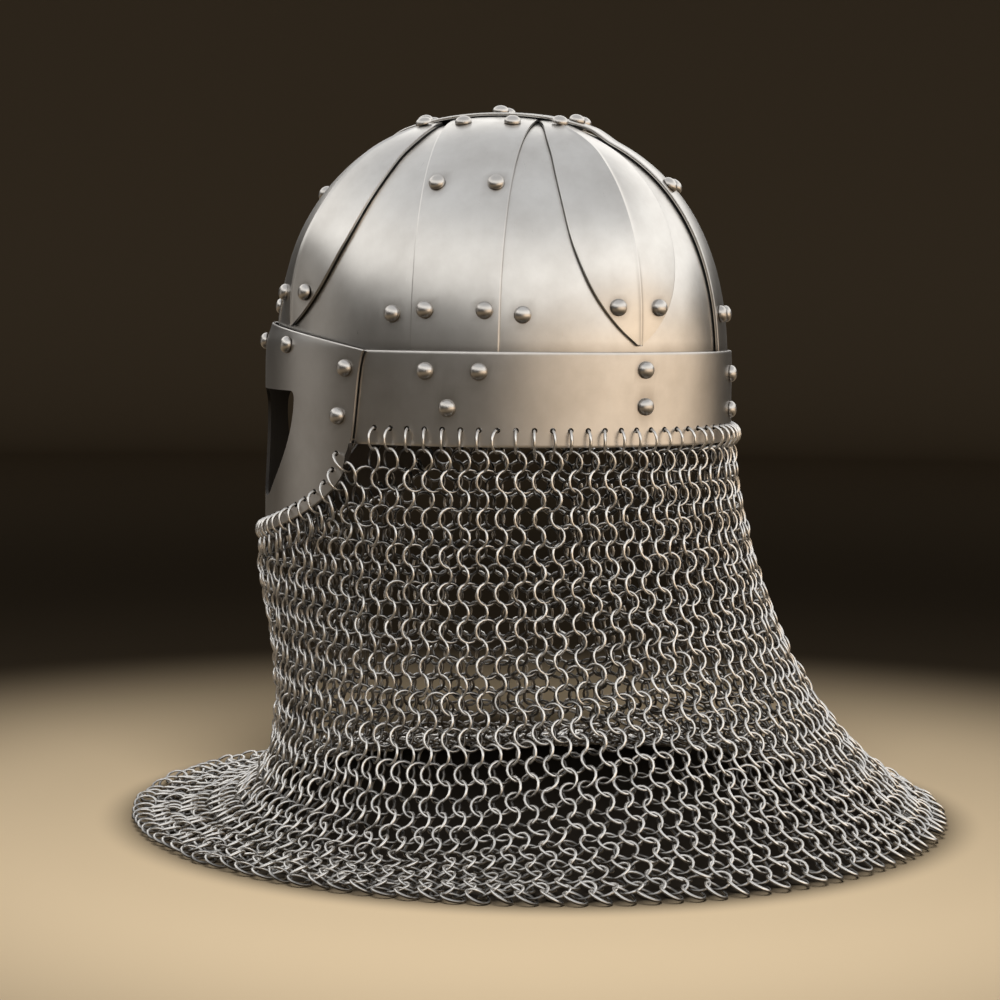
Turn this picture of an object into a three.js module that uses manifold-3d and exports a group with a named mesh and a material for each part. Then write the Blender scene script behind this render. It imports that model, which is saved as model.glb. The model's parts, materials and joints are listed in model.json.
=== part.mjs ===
// Viking helmet: a riveted dome of steel plates, an eye guard and a curtain of mail.
// Millimetres, +Z up. The origin is the middle of the head opening, level with the lower rim of the brow band.
// The face looks along -Y, and the wearer's left is +X.
import * as THREE from 'three';
import { mergeVertices } from 'three/addons/utils/BufferGeometryUtils.js';
import loadManifold from 'manifold-3d';

// Dome: the outer face of the skull plates, a superellipse in plan scale against height
const HALF_WIDTH = 100;
const FRONT_REACH = 116;
const BACK_REACH = 114.5;
const SPRING_HEIGHT = 28;
const CROWN_HEIGHT = 161;
const PLAN_POWER = 2.27;
const RISE_POWER = 2.5;

// Sheet steel, and the play between one layer and the next
const SHEET = 1.6;
const PLAY = 0.5;
const VISOR_PLAY = 0.7;
const SKULL_FOOT = 29;
const STRAP_FOOT = 32;
const PLATE_SEAM = 0.5;
const SKULL_EYE = 0.04;

// Straps over the dome
const SIDE_BAND_WIDTH = 44;
const SIDE_BAND_TOP = 5;
const CREST_WIDTH = 32;

// The crest lies on the skull plates at its two ends and climbs over the other straps between these plan scales
const CREST_LOW_SCALE = 0.64;
const CREST_HIGH_SCALE = 0.42;

// Brow band: a hoop whose front is cut up to clear the eyes
const BROW_HEIGHT = 45.5;
const BROW_FACE_HEIGHT = 27;
const BROW_FACE_HALF_ANGLE = 52;

// Visor: an eye guard with an elliptical lower edge
const VISOR_HALF_ANGLE = 63.7;
const VISOR_SLANT = 4.7;
const VISOR_CORNER = -5;
const VISOR_DROP = 47;
const VISOR_TOP = 58;
const VISOR_TOP_FALL = 12.5;
const VISOR_TOP_CURVE = 2.3;
const VISOR_RADIUS = 112;

// Holes for the mail
const HOLE_RADIUS = 1.1;
const BROW_HOLE_HEIGHT = 8.2;
const BROW_HOLES = 52;
const VISOR_HOLE_INSET = 6.5;
const VISOR_HOLES = 32;

// Rivet heads
const RIVET_RADIUS = 3.7;
const RIVET_RISE = 2.8;
const RIVET_SEAT = 0.9;

// Mail curtain, as a wall as thick as the woven rings
const MAIL_THICK = 5;
const MAIL_GAP = 0.6;
const MAIL_VISOR_GAP = 1.6;
const MAIL_CORNER_SHARES = [0.82, 0.9, 0.955, 0.985, 0.9995, 1.015];
const MAIL_COLUMN_STEP = 10;
const FLOOR_HEIGHT = -194;
const HEM_RADIUS = 208.5;
const HEM_SETBACK = 22;

// Facets across and along each sheet
const SKULL_FACETS = [9, 8];
const SIDE_BAND_FACETS = [4, 10];
const PETAL_FACETS = [6, 9];
const CREST_FACETS = [3, 30];
const BROW_FACETS = [84, 1];
const VISOR_FACETS = [26, 4];
const MAIL_FACETS_DOWN = 8;
const RIVET_SIDES = 6;
const HOLE_SIDES = 4;
const EYE_CURVE_FACETS = 4;

// Petal outlines by rows from the point up: lift round the dome, bearing of the middle, half width, keel share
const PETAL_KEEL = 4;
const FRONT_PETAL_ROWS = [
  { lift: 8.2, bearing: 53.5, half: 0.8, keel: 0 },
  { lift: 10.2, bearing: 53.5, half: 10, keel: 0.2 },
  { lift: 14.5, bearing: 53.3, half: 20.6, keel: 0.55 },
  { lift: 23.6, bearing: 52, half: 28.2, keel: 1 },
  { lift: 34.8, bearing: 50.2, half: 28.6, keel: 1 },
  { lift: 51.7, bearing: 48.8, half: 22, keel: 0.9 },
  { lift: 70.2, bearing: 53, half: 9.5, keel: 0.25 },
  { lift: 76, bearing: 64.7, half: 5.6, keel: 0 },
];
const BACK_PETAL_ROWS = [
  { lift: 5.4, bearing: 46.8, half: 0.8, keel: 0 },
  { lift: 8.1, bearing: 46.8, half: 10, keel: 0.2 },
  { lift: 13.5, bearing: 46.8, half: 20.6, keel: 0.55 },
  { lift: 23.6, bearing: 46.8, half: 28.2, keel: 1 },
  { lift: 34.8, bearing: 47, half: 28.6, keel: 1 },
  { lift: 51.7, bearing: 47.6, half: 22, keel: 0.9 },
  { lift: 70.2, bearing: 51, half: 9.5, keel: 0.25 },
  { lift: 76, bearing: 62, half: 5.6, keel: 0 },
];
const PETALS = [
  { name: 'petal_front_left', end: -1, side: 1, rows: FRONT_PETAL_ROWS, rivetHeight: 72 },
  { name: 'petal_front_right', end: -1, side: -1, rows: FRONT_PETAL_ROWS, rivetHeight: 72 },
  { name: 'petal_back_left', end: 1, side: 1, rows: BACK_PETAL_ROWS, rivetHeight: 66 },
  { name: 'petal_back_right', end: 1, side: -1, rows: BACK_PETAL_ROWS, rivetHeight: 66 },
];

// Mail fall by bearing from the side (front -90, back 90): lean and height of the two bends of each fall line
const MAIL_FALLS = [
  { bearing: -90, upperLean: 34, upperHeight: -72, lowerLean: -80, lowerHeight: -195 },
  { bearing: -45, upperLean: -2, upperHeight: -125, lowerLean: -26, lowerHeight: -197 },
  { bearing: 0, upperLean: 2, upperHeight: -165, lowerLean: 16, lowerHeight: -191 },
  { bearing: 45, upperLean: 2, upperHeight: -85, lowerLean: 20, lowerHeight: -160 },
  { bearing: 90, upperLean: 6, upperHeight: -60, lowerLean: 32, lowerHeight: -150 },
];

// How far each layer's inner face stands off the skull plates
const OVERLAY_STAND = PLAY;
const CREST_STAND = OVERLAY_STAND + SHEET + PLAY;
const BROW_STAND = OVERLAY_STAND + SHEET + PLAY;
const VISOR_STAND = BROW_STAND + SHEET + VISOR_PLAY;

const radians = THREE.MathUtils.degToRad;
const lerp = THREE.MathUtils.lerp;

const manifold = await loadManifold();
manifold.setup();

// Solids

// A closed geometry, with its shared corners merged and its flat slivers dropped, as a solid
function solidOf(geometry) {
  const bare = geometry.clone();
  bare.deleteAttribute('normal');
  bare.deleteAttribute('uv');
  const merged = mergeVertices(bare, 1e-4);
  const corners = [];
  const index = merged.index.array;
  for (let i = 0; i < index.length; i += 3) {
    const [a, b, c] = index.slice(i, i + 3);
    if (a !== b && b !== c && c !== a) corners.push(a, b, c);
  }
  const mesh = new manifold.Mesh({
    numProp: 3,
    vertProperties: new Float32Array(merged.attributes.position.array),
    triVerts: new Uint32Array(corners),
  });
  return new manifold.Manifold(mesh);
}

function geometryOf(solid) {
  const mesh = solid.getMesh();
  const geometry = new THREE.BufferGeometry();
  geometry.setAttribute('position', new THREE.BufferAttribute(new Float32Array(mesh.vertProperties), 3));
  geometry.setIndex(new THREE.BufferAttribute(new Uint32Array(mesh.triVerts), 1));
  return geometry;
}

// Closed geometry from points and triangles, turned so that its faces point out
function closedGeometry(points, triangles) {
  const flat = points.flatMap((p) => [p.x, p.y, p.z]);
  let volume = 0;
  const across = new THREE.Vector3();
  for (const [a, b, c] of triangles) {
    volume += points[a].dot(across.crossVectors(points[b], points[c]));
  }
  const outward = volume > 0 ? triangles : triangles.map(([a, b, c]) => [a, c, b]);
  const geometry = new THREE.BufferGeometry();
  geometry.setAttribute('position', new THREE.Float32BufferAttribute(flat, 3));
  geometry.setIndex(outward.flat());
  return geometry;
}

// A bent sheet between two faces: pointAt(across, along, face) with face 0 inside and 1 outside
function sheetGeometry(pointAt, columns, rows, { loop = false } = {}) {
  const wide = loop ? columns : columns + 1;
  const points = [];
  for (const face of [0, 1]) {
    for (let row = 0; row <= rows; row += 1) {
      for (let column = 0; column < wide; column += 1) {
        points.push(pointAt(column / columns, row / rows, face));
      }
    }
  }
  const layer = wide * (rows + 1);
  const at = (column, row, face) => face * layer + row * wide + (column % wide);
  const triangles = [];
  const quad = (a, b, c, d) => triangles.push([a, b, c], [a, c, d]);
  for (let row = 0; row < rows; row += 1) {
    for (let column = 0; column < columns; column += 1) {
      const next = column + 1;
      quad(at(column, row, 1), at(next, row, 1), at(next, row + 1, 1), at(column, row + 1, 1));
      quad(at(column, row, 0), at(column, row + 1, 0), at(next, row + 1, 0), at(next, row, 0));
    }
  }
  for (let column = 0; column < columns; column += 1) {
    const next = column + 1;
    quad(at(column, 0, 0), at(next, 0, 0), at(next, 0, 1), at(column, 0, 1));
    quad(at(column, rows, 1), at(next, rows, 1), at(next, rows, 0), at(column, rows, 0));
  }
  if (!loop) {
    for (let row = 0; row < rows; row += 1) {
      quad(at(0, row, 1), at(0, row + 1, 1), at(0, row + 1, 0), at(0, row, 0));
      quad(at(columns, row, 0), at(columns, row + 1, 0), at(columns, row + 1, 1), at(columns, row, 1));
    }
  }
  return closedGeometry(points, triangles);
}

// Dome

// Plan scale of the dome at a height, and the height at a plan scale, for a face that stands off the skull
function planScale(height, stand = 0) {
  const rise = Math.max(0, (height - SPRING_HEIGHT) / (CROWN_HEIGHT + stand - SPRING_HEIGHT));
  return (1 - rise ** RISE_POWER) ** (1 / PLAN_POWER);
}

function heightAt(scale, stand = 0) {
  const rise = Math.max(0, 1 - Math.min(1, scale) ** PLAN_POWER) ** (1 / RISE_POWER);
  return SPRING_HEIGHT + (CROWN_HEIGHT + stand - SPRING_HEIGHT) * rise;
}

const reachTowards = (y) => (y > 0 ? BACK_REACH : FRONT_REACH);
const scaleAtLift = (lift) => Math.cos(radians(lift)) ** (2 / PLAN_POWER);
const liftAtHeight = (height) => THREE.MathUtils.radToDeg(Math.acos(planScale(height) ** (PLAN_POWER / 2)));

// Point at a bearing and plan scale
function domePoint(bearing, scale, stand) {
  const turn = radians(bearing);
  const reach = reachTowards(Math.sin(turn)) + stand;
  const x = (HALF_WIDTH + stand) * scale * Math.cos(turn);
  const y = reach * scale * Math.sin(turn);
  return new THREE.Vector3(x, y, heightAt(scale, stand));
}

// Point straight above a place in plan
function planPoint(x, y, stand) {
  const scale = Math.hypot(x / (HALF_WIDTH + stand), y / (reachTowards(y) + stand));
  return new THREE.Vector3(x, y, heightAt(scale, stand));
}

// Point of an upright wall round the brow, at a bearing and height
function wallPoint(bearing, height, stand) {
  const turn = radians(bearing);
  const scale = planScale(height, stand);
  const x = (HALF_WIDTH + stand) * scale * Math.cos(turn);
  const y = (reachTowards(Math.sin(turn)) + stand) * scale * Math.sin(turn);
  return new THREE.Vector3(x, y, height);
}

// Outward direction of the dome at one of its points
function domeNormal(point) {
  const reach = reachTowards(point.y);
  const scale = Math.hypot(point.x / HALF_WIDTH, point.y / reach);
  const steep = PLAN_POWER * scale ** (PLAN_POWER - 2);
  const rise = Math.max(0, (point.z - SPRING_HEIGHT) / (CROWN_HEIGHT - SPRING_HEIGHT));
  const upward = (RISE_POWER * rise ** (RISE_POWER - 1)) / (CROWN_HEIGHT - SPRING_HEIGHT);
  const x = (steep * point.x) / HALF_WIDTH ** 2;
  const y = (steep * point.y) / reach ** 2;
  return new THREE.Vector3(x, y, upward).normalize();
}

// Rivets

// A domed head, sunk a little way into the sheet under it
function rivetHead(point) {
  const profile = [
    new THREE.Vector2(0, -RIVET_SEAT),
    new THREE.Vector2(RIVET_RADIUS, -RIVET_SEAT),
    new THREE.Vector2(RIVET_RADIUS * 0.72, RIVET_RISE * 0.74),
    new THREE.Vector2(0, RIVET_RISE),
  ];
  const head = new THREE.LatheGeometry(profile, RIVET_SIDES);
  const turn = new THREE.Quaternion().setFromUnitVectors(new THREE.Vector3(0, 1, 0), domeNormal(point));
  head.applyQuaternion(turn);
  head.translate(point.x, point.y, point.z);
  return solidOf(head);
}

const withRivets = (solid, places) => places.reduce((whole, place) => whole.add(rivetHead(place)), solid);

// Skull plates: four quarters, with their seams under the crest band and the side bands

function skullPlate(end, side) {
  const foot = liftAtHeight(SKULL_FOOT);
  const eye = THREE.MathUtils.radToDeg(Math.acos(SKULL_EYE ** (PLAN_POWER / 2)));
  const pointAt = (across, along, face) => {
    const scale = scaleAtLift(lerp(foot, eye, along));
    const sideSeam = THREE.MathUtils.radToDeg(Math.asin(PLATE_SEAM / (BACK_REACH * scale)));
    const crestSeam = THREE.MathUtils.radToDeg(Math.asin(PLATE_SEAM / (HALF_WIDTH * scale)));
    const bearing = end * lerp(sideSeam, 90 - crestSeam, across);
    const point = domePoint(bearing, scale, face ? 0 : -SHEET);
    point.x *= side;
    return point;
  };
  return solidOf(sheetGeometry(pointAt, ...SKULL_FACETS));
}

// The rivet beside the side band that holds each skull plate to the brow
function skullRivet(end, side) {
  const height = 63;
  const y = end * 32;
  const x = HALF_WIDTH * Math.sqrt(planScale(height) ** 2 - (y / reachTowards(y)) ** 2);
  return new THREE.Vector3(side * x, y, height);
}

// Side bands

function sideBand(side) {
  const foot = liftAtHeight(STRAP_FOOT);
  const top = THREE.MathUtils.radToDeg(Math.acos((SIDE_BAND_TOP / HALF_WIDTH) ** (PLAN_POWER / 2)));
  const pointAt = (across, along, face) => {
    const stand = OVERLAY_STAND + face * SHEET;
    const y = lerp(-SIDE_BAND_WIDTH / 2, SIDE_BAND_WIDTH / 2, across);
    const widest = Math.sqrt(1 - (y / (reachTowards(y) + stand)) ** 2);
    const x = (HALF_WIDTH + stand) * widest * scaleAtLift(lerp(foot, top, along));
    const point = planPoint(x, y, stand);
    point.x *= side;
    return point;
  };
  return solidOf(sheetGeometry(pointAt, ...SIDE_BAND_FACETS));
}

function sideBandRivets(side) {
  const stand = OVERLAY_STAND + SHEET;
  const spread = 14.6;
  const places = [];
  for (const y of [-spread, spread]) {
    for (const height of [65, 126]) {
      const scale = planScale(height, stand);
      const x = (HALF_WIDTH + stand) * Math.sqrt(scale ** 2 - (y / (reachTowards(y) + stand)) ** 2);
      places.push(new THREE.Vector3(side * x, y, height));
    }
    places.push(planPoint(side * 34, y * 0.86, stand));
  }
  return places;
}

// Petals

// The bearing, half width and keel share of a petal's middle at each lift
function petalOutline(rows) {
  const lifts = rows.map((row) => row.lift);
  return new THREE.CubicInterpolant(lifts, rows.flatMap((row) => [row.bearing, row.half, row.keel]), 3);
}

// A petal's face: across runs from -1 to 1 over its width, and the keel lifts its middle
function petalPoint(petal, across, lift, thick) {
  const [middleBearing, half, keel] = petalOutline(petal.rows).evaluate(lift);
  const scale = scaleAtLift(lift);
  const stand = OVERLAY_STAND + thick + PETAL_KEEL * keel * (1 - Math.abs(across));
  const middle = domePoint(petal.end * middleBearing, scale, 0);
  const halfAngle = THREE.MathUtils.radToDeg(half / Math.hypot(middle.x, middle.y));
  const point = domePoint(petal.end * (middleBearing + across * halfAngle), scale, stand);
  point.x *= petal.side;
  return point;
}

function petalSolid(petal) {
  const first = petal.rows[0].lift;
  const last = petal.rows.at(-1).lift;
  const pointAt = (across, along, face) => {
    const lift = lerp(first, last, along ** 1.25);
    return petalPoint(petal, lerp(-1, 1, across), lift, face * SHEET);
  };
  return solidOf(sheetGeometry(pointAt, ...PETAL_FACETS));
}

function petalRivets(petal) {
  const low = liftAtHeight(petal.rivetHeight);
  return [
    petalPoint(petal, -0.62, low, SHEET),
    petalPoint(petal, 0.62, low, SHEET),
    petalPoint(petal, 0, 71, SHEET),
  ];
}

// Crest band

function crestBand() {
  const foot = liftAtHeight(STRAP_FOOT);
  const pointAt = (across, along, face) => {
    const x = lerp(-CREST_WIDTH / 2, CREST_WIDTH / 2, across);
    const swing = Math.cos(radians(lerp(foot, 180 - foot, along)));
    const end = -Math.sign(swing);
    const scale = Math.abs(swing) ** (2 / PLAN_POWER);
    const climb = 1 - THREE.MathUtils.smoothstep(scale, CREST_HIGH_SCALE, CREST_LOW_SCALE);
    const stand = lerp(OVERLAY_STAND, CREST_STAND, climb) + face * SHEET;
    const widest = Math.sqrt(1 - (x / (HALF_WIDTH + stand)) ** 2);
    const y = end * (reachTowards(end) + stand) * widest * scale;
    return planPoint(x, y, stand);
  };
  return solidOf(sheetGeometry(pointAt, ...CREST_FACETS));
}

function crestRivets() {
  const low = OVERLAY_STAND + SHEET;
  const spread = 8;
  const places = [];
  for (const x of [-spread, spread]) {
    for (const [end, height] of [[-1, 66], [-1, 124], [1, 64], [1, 128]]) {
      const scale = planScale(height, low);
      const y = end * (reachTowards(end) + low) * Math.sqrt(scale ** 2 - (x / (HALF_WIDTH + low)) ** 2);
      places.push(new THREE.Vector3(x, y, height));
    }
    for (const y of [-39, 0.5, 40]) places.push(planPoint(x, y, CREST_STAND + SHEET));
  }
  return places;
}

// Holes

// A short round cutter square to the wall
function holeCutter(point) {
  const cutter = new THREE.CylinderGeometry(HOLE_RADIUS, HOLE_RADIUS, 6 * SHEET, HOLE_SIDES);
  const flatNormal = domeNormal(point.clone().setZ(0));
  cutter.applyQuaternion(new THREE.Quaternion().setFromUnitVectors(new THREE.Vector3(0, 1, 0), flatNormal));
  cutter.translate(point.x, point.y, point.z);
  return solidOf(cutter);
}

const withHoles = (solid, places) => solid.subtract(manifold.Manifold.union(places.map(holeCutter)));

// Brow band

function browBand() {
  const pointAt = (across, along, face) => {
    const bearing = -90 + 360 * across;
    const facing = Math.abs(((bearing + 270) % 360) - 180);
    const foot = facing < BROW_FACE_HALF_ANGLE ? BROW_FACE_HEIGHT : 0;
    return wallPoint(bearing, lerp(foot, BROW_HEIGHT, along), BROW_STAND + face * SHEET);
  };
  return solidOf(sheetGeometry(pointAt, ...BROW_FACETS, { loop: true }));
}

// One hole in the middle of each facet, round the back from visor to visor
function browHoles() {
  const step = 360 / BROW_FACETS[0];
  const places = [];
  for (let hole = 0; hole < BROW_HOLES; hole += 1) {
    const bearing = 90 + (hole - (BROW_HOLES - 1) / 2) * step;
    places.push(wallPoint(bearing, BROW_HOLE_HEIGHT, BROW_STAND + SHEET / 2));
  }
  return places;
}

function browRivets() {
  const stand = BROW_STAND + SHEET;
  const places = [wallPoint(90, 34, stand), wallPoint(90, 16, stand)];
  for (const [bearing, height] of [[-6.3, 36], [6.3, 36], [-1, 18.6], [47.5, 37], [47.5, 19.4]]) {
    places.push(wallPoint(bearing, height, stand));
    places.push(wallPoint(180 - bearing, height, stand));
  }
  return places;
}

// Visor

// Eye opening of the left side, as bearing in degrees against height
function eyeOutline() {
  const eye = new THREE.Shape();
  eye.moveTo(-47, 24.3);
  eye.quadraticCurveTo(-44.5, 24.3, -44.5, 20);
  eye.bezierCurveTo(-44.8, 2, -50, -14, -61.4, -28);
  eye.bezierCurveTo(-66, -33, -74, -31, -78, -20);
  eye.bezierCurveTo(-81, -10, -83, 8, -82, 16);
  eye.quadraticCurveTo(-81, 25, -73, 25.2);
  return eye.getPoints(EYE_CURVE_FACETS).reverse();
}

// A cutter through the wall with the eye's outline, from well inside it to well outside
function eyeCutter(side) {
  const outline = eyeOutline();
  const faces = THREE.ShapeUtils.triangulateShape(outline, []);
  const count = outline.length;
  const points = [];
  for (const reach of [-14, 26]) {
    for (const corner of outline) {
      const point = wallPoint(corner.x, corner.y, VISOR_STAND + reach);
      point.x *= side;
      points.push(point);
    }
  }
  const triangles = faces.map(([a, b, c]) => [a, c, b]);
  faces.forEach(([a, b, c]) => triangles.push([a + count, b + count, c + count]));
  for (let i = 0; i < count; i += 1) {
    const next = (i + 1) % count;
    triangles.push([i, next, next + count], [i, next + count, i + count]);
  }
  return solidOf(closedGeometry(points, triangles));
}

function visorFace() {
  const pointAt = (across, along, face) => {
    const swing = lerp(-90, 90, across);
    const share = Math.sin(radians(swing));
    const foot = VISOR_CORNER - VISOR_DROP * Math.cos(radians(swing));
    const brim = VISOR_TOP - VISOR_TOP_FALL * Math.abs(share) ** VISOR_TOP_CURVE;
    const bearing = -90 + (VISOR_HALF_ANGLE + VISOR_SLANT * along) * share;
    return wallPoint(bearing, lerp(foot, brim, along), VISOR_STAND + face * SHEET);
  };
  return solidOf(sheetGeometry(pointAt, ...VISOR_FACETS));
}

function visorHoles() {
  const halfArc = radians(VISOR_HALF_ANGLE) * VISOR_RADIUS - VISOR_HOLE_INSET;
  const edge = new THREE.EllipseCurve(0, VISOR_CORNER, halfArc, VISOR_DROP - VISOR_HOLE_INSET, Math.PI, 2 * Math.PI);
  return edge.getSpacedPoints(VISOR_HOLES - 1).map((spot) => {
    const bearing = -90 + THREE.MathUtils.radToDeg(spot.x / VISOR_RADIUS);
    return wallPoint(bearing, spot.y, VISOR_STAND + SHEET / 2);
  });
}

function visorRivets() {
  const stand = VISOR_STAND + SHEET;
  const places = [];
  for (const [bearing, height] of [[-27, 36.6], [-29.2, 13.3], [-49.8, 47], [-78.5, 48]]) {
    places.push(wallPoint(bearing, height, stand));
    places.push(wallPoint(-180 - bearing, height, stand));
  }
  return places;
}

// Mail curtain

const mailFall = new THREE.CubicInterpolant(
  MAIL_FALLS.map((fall) => fall.bearing),
  MAIL_FALLS.flatMap((fall) => [fall.upperLean, fall.upperHeight, fall.lowerLean, fall.lowerHeight]),
  4,
);
mailFall.settings = { endingStart: THREE.ZeroSlopeEnding, endingEnd: THREE.ZeroSlopeEnding };

// Bearing of the matching place on the wearer's left, since the curtain is the same on both sides
const leftBearing = (bearing) => THREE.MathUtils.radToDeg(Math.asin(Math.sin(radians(bearing))));

// One line of the fall, from the rim of the brow band to the hem on the floor
function fallLine(bearing) {
  const [upperLean, upperHeight, lowerLean, lowerHeight] = mailFall.evaluate(leftBearing(bearing));
  const turn = radians(bearing);
  const facing = Math.max(0, -Math.sin(turn));
  const rim = wallPoint(bearing, 0, lerp(BROW_STAND, VISOR_STAND, facing) + SHEET / 2);
  const hemHeight = FLOOR_HEIGHT + MAIL_THICK / 2;
  const hemX = HEM_RADIUS * Math.cos(turn);
  const hem = new THREE.Vector3(hemX, HEM_SETBACK + HEM_RADIUS * Math.sin(turn), hemHeight);
  const away = hem.clone().sub(rim).setZ(0).normalize();
  const upper = rim.clone().addScaledVector(away, upperLean).setZ(upperHeight);
  const lower = rim.clone().addScaledVector(away, lowerLean).setZ(lowerHeight);
  return new THREE.CubicBezierCurve3(rim, upper, lower, hem);
}

// Half angle of the front that the visor takes up, with a gap round its lower edge
const visorClear = VISOR_HALF_ANGLE + THREE.MathUtils.radToDeg(MAIL_VISOR_GAP / VISOR_RADIUS);

// Height of the curtain's top edge: just under the brow band, or round the visor's lower edge
function mailTop(bearing) {
  const fromFront = Math.abs(((bearing + 270) % 360) - 180);
  const share = fromFront / visorClear;
  if (share >= 1) return -MAIL_GAP;
  return VISOR_CORNER - (VISOR_DROP + MAIL_VISOR_GAP) * Math.sqrt(1 - share ** 2);
}

// Point of the curtain's middle, from its top edge down to the hem
function mailPoint(bearing, along) {
  const line = fallLine(bearing);
  const top = mailTop(bearing);
  let low = 0;
  let high = 0.6;
  for (let step = 0; step < 24; step += 1) {
    const middle = (low + high) / 2;
    if (line.getPoint(middle).z > top) low = middle;
    else high = middle;
  }
  const share = lerp(low, 1, along);
  return { share, point: line.getPoint(share) };
}

// Bearings of the curtain's columns, closer together at the visor's rear corners
function mailBearings() {
  const corner = MAIL_CORNER_SHARES.map((share) => share * visorClear);
  const half = [...corner];
  for (let turn = MAIL_COLUMN_STEP; turn < 180; turn += MAIL_COLUMN_STEP) {
    if (turn < corner[0] || turn > corner.at(-1) + MAIL_COLUMN_STEP / 2) half.push(turn);
  }
  half.sort((a, b) => a - b);
  const mirrored = half.map((turn) => 360 - turn).reverse();
  return [0, ...half, 180, ...mirrored].map((turn) => turn - 90);
}

function mailCurtain() {
  const bearings = mailBearings();
  const nudge = 0.01;
  const pointAt = (across, along, face) => {
    const bearing = bearings[Math.round(across * bearings.length)];
    const here = mailPoint(bearing, along);
    const line = fallLine(bearing);
    const round = fallLine(bearing + nudge).getPoint(here.share).sub(line.getPoint(here.share)).setZ(0);
    const down = line.getTangent(here.share);
    const normal = down.cross(round).normalize();
    return here.point.addScaledVector(normal, (face - 0.5) * MAIL_THICK);
  };
  return solidOf(sheetGeometry(pointAt, bearings.length, MAIL_FACETS_DOWN, { loop: true }));
}

// Assembly

const steel = new THREE.MeshStandardMaterial({ color: 0x8d8983, metalness: 1, roughness: 0.38 });
const darkSteel = new THREE.MeshStandardMaterial({ color: 0x77736e, metalness: 1, roughness: 0.42 });
const wire = new THREE.MeshStandardMaterial({ color: 0x6f6c68, metalness: 1, roughness: 0.45 });

const helmet = new THREE.Group();

function place(name, solid, material) {
  const mesh = new THREE.Mesh(geometryOf(solid), material);
  mesh.name = name;
  helmet.add(mesh);
}

for (const [end, endName] of [[-1, 'front'], [1, 'back']]) {
  for (const [side, sideName] of [[1, 'left'], [-1, 'right']]) {
    const plate = withRivets(skullPlate(end, side), [skullRivet(end, side)]);
    place(`skull_plate_${endName}_${sideName}`, plate, steel);
  }
}
place('side_band_left', withRivets(sideBand(1), sideBandRivets(1)), steel);
place('side_band_right', withRivets(sideBand(-1), sideBandRivets(-1)), steel);
for (const petal of PETALS) place(petal.name, withRivets(petalSolid(petal), petalRivets(petal)), steel);
place('crest_band', withRivets(crestBand(), crestRivets()), steel);
place('brow_band', withRivets(withHoles(browBand(), browHoles()), browRivets()), darkSteel);

const guard = visorFace().subtract(eyeCutter(1)).subtract(eyeCutter(-1));
place('visor', withRivets(withHoles(guard, visorHoles()), visorRivets()), darkSteel);
place('aventail', mailCurtain(), wire);

export default helmet;
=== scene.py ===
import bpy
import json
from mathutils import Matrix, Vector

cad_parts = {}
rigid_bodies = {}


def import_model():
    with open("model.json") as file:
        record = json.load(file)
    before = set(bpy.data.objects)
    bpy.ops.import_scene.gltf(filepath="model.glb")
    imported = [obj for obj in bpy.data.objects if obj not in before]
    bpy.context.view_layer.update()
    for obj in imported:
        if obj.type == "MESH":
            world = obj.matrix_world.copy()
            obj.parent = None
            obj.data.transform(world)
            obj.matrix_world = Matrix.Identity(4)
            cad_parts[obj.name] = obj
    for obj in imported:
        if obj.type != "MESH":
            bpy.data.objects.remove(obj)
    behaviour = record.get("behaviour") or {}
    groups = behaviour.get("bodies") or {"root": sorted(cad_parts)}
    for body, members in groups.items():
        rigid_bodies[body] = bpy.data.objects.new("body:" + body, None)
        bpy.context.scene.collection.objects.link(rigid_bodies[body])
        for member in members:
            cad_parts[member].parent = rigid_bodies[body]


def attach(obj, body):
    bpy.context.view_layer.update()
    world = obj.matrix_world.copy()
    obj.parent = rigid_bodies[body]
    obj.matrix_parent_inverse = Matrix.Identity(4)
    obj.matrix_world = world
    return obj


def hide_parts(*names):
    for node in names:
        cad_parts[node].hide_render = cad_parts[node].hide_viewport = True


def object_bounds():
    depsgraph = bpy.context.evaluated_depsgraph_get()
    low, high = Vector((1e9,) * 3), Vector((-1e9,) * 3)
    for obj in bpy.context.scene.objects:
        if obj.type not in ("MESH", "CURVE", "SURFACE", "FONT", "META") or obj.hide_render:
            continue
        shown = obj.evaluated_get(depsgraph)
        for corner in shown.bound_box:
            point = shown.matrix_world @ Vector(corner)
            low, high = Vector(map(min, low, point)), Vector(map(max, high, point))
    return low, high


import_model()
cad_box = [list(corner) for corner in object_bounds()]

import json
import math
import random

import bpy
import numpy as np
from mathutils import Matrix, Vector, kdtree

# Skull plates
# Four quarters of 1.6 mm sheet steel, raised into a dome and planished smooth.
# Their seams lie under the crest band and the side bands, and a rivet beside each side band holds them.
half_width = 0.1
front_reach = 0.116
back_reach = 0.1145
spring_height = 0.028
crown_height = 0.161
plan_power = 2.27
rise_power = 2.5
gauge = 0.0016
play = 0.0005
skull_foot = 0.029
skull_eye = 0.04
skull_seam = 0.0005
skull_rivet_offset = 0.032
skull_rivet_height = 0.063
brow_height = 0.0455
edge_crowding = 0.7
edge_round = 0.00055
edge_angle = 50.0
smooth_angle = 38.0
weld_distance = 1e-5
rivet_radius = 0.0042
rivet_rise = 0.003
rivet_sink = 0.0005
plate_colour = (0.60, 0.585, 0.56)
rivet_colour = (0.54, 0.52, 0.495)
# Near-black inside colour: unpolished steel painted dark as shade for the helmet's interior
inside_shaded_colour = (0.05, 0.045, 0.04)
# Dark colours for dirt and for painted contact shade where the plates are marked, inside and outside
inside_dirt_and_shade_colour = (0.03, 0.026, 0.022)
dirt_and_shade_colour = (0.20, 0.175, 0.15)
# Reach of the dirt and painted contact shade round the rivets
rivet_dirt_and_shade_reach = 0.0018
# Painted shade at the foot of the rivet heads
rivet_foot_shade = 2.4
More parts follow.
